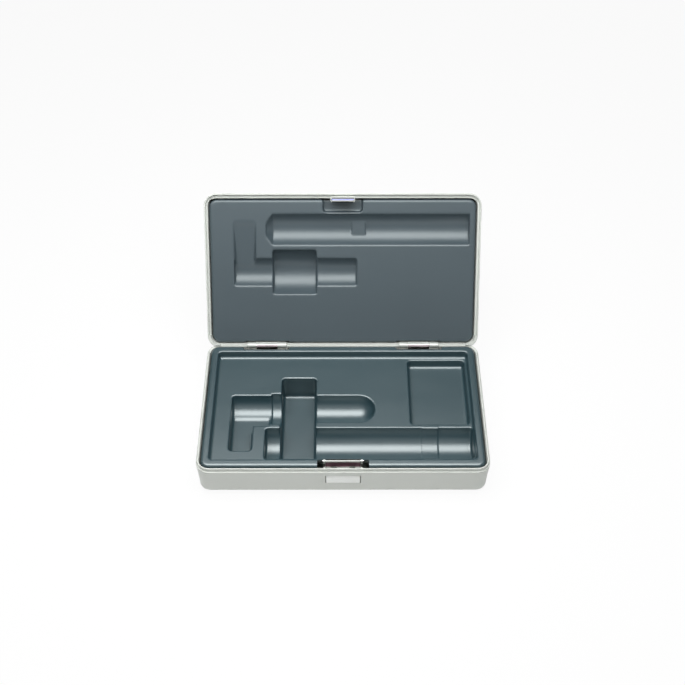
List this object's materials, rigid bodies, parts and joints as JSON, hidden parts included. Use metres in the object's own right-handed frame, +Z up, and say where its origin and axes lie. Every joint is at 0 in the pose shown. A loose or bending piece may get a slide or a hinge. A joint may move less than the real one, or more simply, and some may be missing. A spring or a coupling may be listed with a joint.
{
  "type": "hinged instrument case",
  "caption": "Open hard case for a hand-held ear examination set: hinged plastic shells with formed trays, a sprung push-button latch and a bent-strip catch.",
  "frame": {"origin": "middle of the flat bottom face of the base", "axes": "+X to the right along the hinge line, +Y to the rear where the hinges are, +Z up; the push button faces -Y"},
  "size_m": [0.215, 0.2044, 0.1303],
  "materials": {
    "shell": "satin moulded",
    "base_tray": "satin formed sheet",
    "lid_tray": "satin formed sheet",
    "nickel": "bright plated",
    "spring_steel": "rolled strip",
    "latch": "bright plated",
    "button": "smooth moulded"
  },
  "bodies": {
    "base": {"base_shell": "shell", "base_tray": "base_tray", "pockets_left": "base_tray", "finger_well": "base_tray", "pockets_right": "base_tray", "hinge_base_leaf_left": "nickel", "hinge_base_leaf_right": "nickel", "hinge_pin_left": "nickel", "hinge_pin_right": "nickel", "base_leaf_rivets_left": "nickel", "base_leaf_rivets_right": "nickel", "latch_pin": "nickel", "latch_spring": "spring_steel", "spring_rivet": "nickel"},
    "lid": {"lid_shell": "shell", "lid_tray": "lid_tray", "hinge_lid_leaf_left": "nickel", "hinge_lid_leaf_right": "nickel", "lid_leaf_rivets_left": "nickel", "lid_leaf_rivets_right": "nickel", "lid_catch": "nickel", "catch_rivets": "nickel"},
    "button": {"push_button": "button"},
    "lever": {"latch_lever": "latch"}
  },
  "joints": [
    {"name": "lid_hinge", "type": "hinge", "parent": "base", "child": "lid", "pos_m": [0, 0.05925, 0.0305], "axis": [1, 0, 0], "range_deg": [0, 126]},
    {"name": "button_press", "type": "slide", "parent": "base", "child": "button", "axis": [0, 1, 0], "range_m": [0, 0.0016], "stiffness_N_per_m": 800, "springref_m": -0.001},
    {"name": "lever_swing", "type": "hinge", "parent": "base", "child": "lever", "pos_m": [0, -0.0526, 0.0319], "axis": [1, 0, 0], "range_deg": [0, 11.2], "deforming": ["latch_spring"]}
  ],
  "couplings": [
    {"joint": "lever_swing", "follows": "button_press", "rad_per_m": 122}
  ]
}
